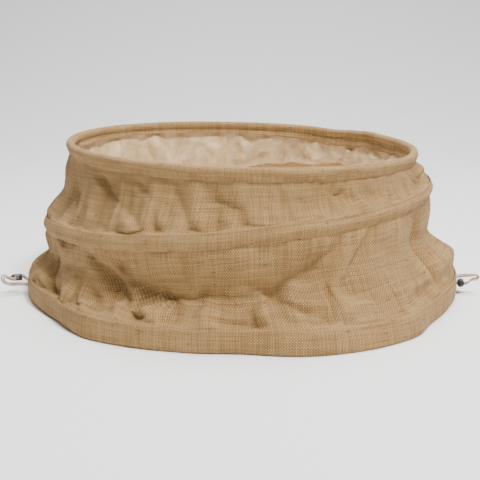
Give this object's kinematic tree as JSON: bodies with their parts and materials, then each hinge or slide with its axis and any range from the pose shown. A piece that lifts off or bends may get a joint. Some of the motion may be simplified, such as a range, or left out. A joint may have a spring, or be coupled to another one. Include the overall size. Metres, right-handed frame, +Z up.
{
  "type": "tree skirt",
  "caption": "Round flared cloth collar that stands round the foot of a Christmas tree, with two hoops, a folded hem and drawcords with spring locks at both sides.",
  "frame": {"origin": "middle of the hem's footprint, on the surface it stands on", "axes": "+Z up through the rim, front at -Y, the drawcord locks at the left (-X) and right (+X)"},
  "size_m": [0.7044, 0.65, 0.2247],
  "materials": {
    "jute": "matte",
    "lining": "satin",
    "tape": "matte",
    "elastic": "matte",
    "hoop_wire": "satin",
    "steel": "satin",
    "lock_plastic": "satin"
  },
  "bodies": {
    "base": {"hem_front": "jute", "hem_back": "jute", "left_cord_tab": "tape", "right_cord_tab": "tape", "front_drawcord": "elastic", "back_drawcord": "elastic", "left_front_cord_end": "elastic", "left_back_cord_end": "elastic", "right_front_cord_end": "elastic", "right_back_cord_end": "elastic", "lower_front_panel": "jute", "lower_back_panel": "jute", "lower_front_lining": "lining", "lower_back_lining": "lining", "lower_left_seam_tape": "tape", "lower_right_seam_tape": "tape"},
    "waist": {"waist_hoop": "hoop_wire", "waist_hoop_sleeve": "steel", "waist_casing": "jute", "upper_front_panel": "jute", "upper_back_panel": "jute", "upper_front_lining": "lining", "upper_back_lining": "lining", "upper_left_seam_tape": "tape", "upper_right_seam_tape": "tape"},
    "rim": {"rim_hoop": "hoop_wire", "rim_hoop_sleeve": "steel", "rim_casing": "jute"},
    "left_lock": {"left_lock_barrel": "lock_plastic", "left_lock_spring": "steel"},
    "left_button": {"left_lock_plunger": "lock_plastic"},
    "right_lock": {"right_lock_barrel": "lock_plastic", "right_lock_spring": "steel"},
    "right_button": {"right_lock_plunger": "lock_plastic"}
  },
  "joints": [
    {"name": "waist_slide", "type": "slide", "parent": "base", "child": "waist", "axis": [0, 0, 1], "range_m": [-0.09, 0], "deforming": ["lower_front_panel", "lower_back_panel", "lower_front_lining", "lower_back_lining", "lower_left_seam_tape", "lower_right_seam_tape"]},
    {"name": "rim_slide", "type": "slide", "parent": "waist", "child": "rim", "axis": [0, 0, 1], "range_m": [-0.09, 0], "deforming": ["upper_front_panel", "upper_back_panel", "upper_front_lining", "upper_back_lining", "upper_left_seam_tape", "upper_right_seam_tape"]},
    {"name": "left_lock_slide", "type": "slide", "parent": "base", "child": "left_lock", "axis": [-0.2079, 0.9781, 0], "range_m": [-0.001, 0.0015]},
    {"name": "left_button_press", "type": "slide", "parent": "left_lock", "child": "left_button", "axis": [-0.9781, -0.2079, 0], "range_m": [-0.0024, 0], "stiffness_N_per_m": 200, "springref_m": 0.003, "deforming": ["left_lock_spring"]},
    {"name": "right_lock_slide", "type": "slide", "parent": "base", "child": "right_lock", "axis": [0.9781, -0.2079, 0], "range_m": [0, 0.003]},
    {"name": "right_button_press", "type": "slide", "parent": "right_lock", "child": "right_button", "axis": [-0.2079, -0.9781, 0], "range_m": [-0.0024, 0], "stiffness_N_per_m": 200, "springref_m": 0.003, "deforming": ["right_lock_spring"]}
  ],
  "couplings": [
    {"joint": "rim_slide", "follows": "waist_slide", "ratio": 1}
  ]
}
